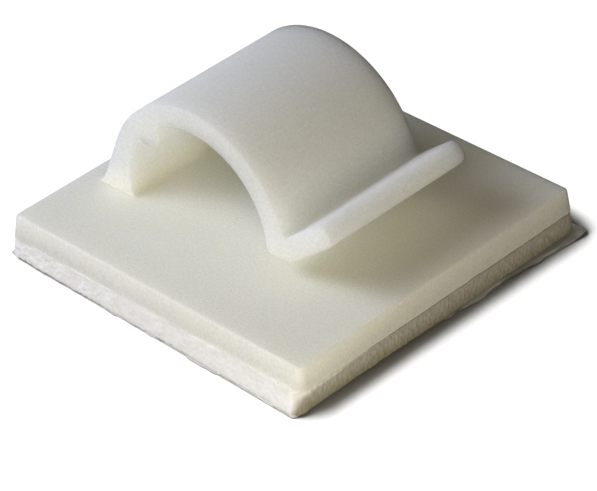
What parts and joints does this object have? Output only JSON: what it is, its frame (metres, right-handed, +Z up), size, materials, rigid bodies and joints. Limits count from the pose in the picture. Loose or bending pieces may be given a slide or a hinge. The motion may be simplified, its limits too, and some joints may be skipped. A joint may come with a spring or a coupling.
{
  "type": "adhesive cable clip",
  "caption": "Adhesive-backed cable clip: a square base plate with a round sprung strip and a flared lip that hold a cable down.",
  "frame": {"origin": "centre of the square base at the underside of the release liner", "axes": "+Z up from the base, +X across the channel from the fixed leg to the free lip, +Y along the cable"},
  "size_m": [0.0274, 0.0274, 0.012],
  "materials": {
    "natural_nylon": "smooth moulded, slightly translucent",
    "white_foam": "matt closed-cell foam",
    "liner_paper": "smooth coated paper"
  },
  "bodies": {
    "root": {"clip_body": "natural_nylon", "foam_pad": "white_foam", "release_liner": "liner_paper"}
  },
  "joints": []
}
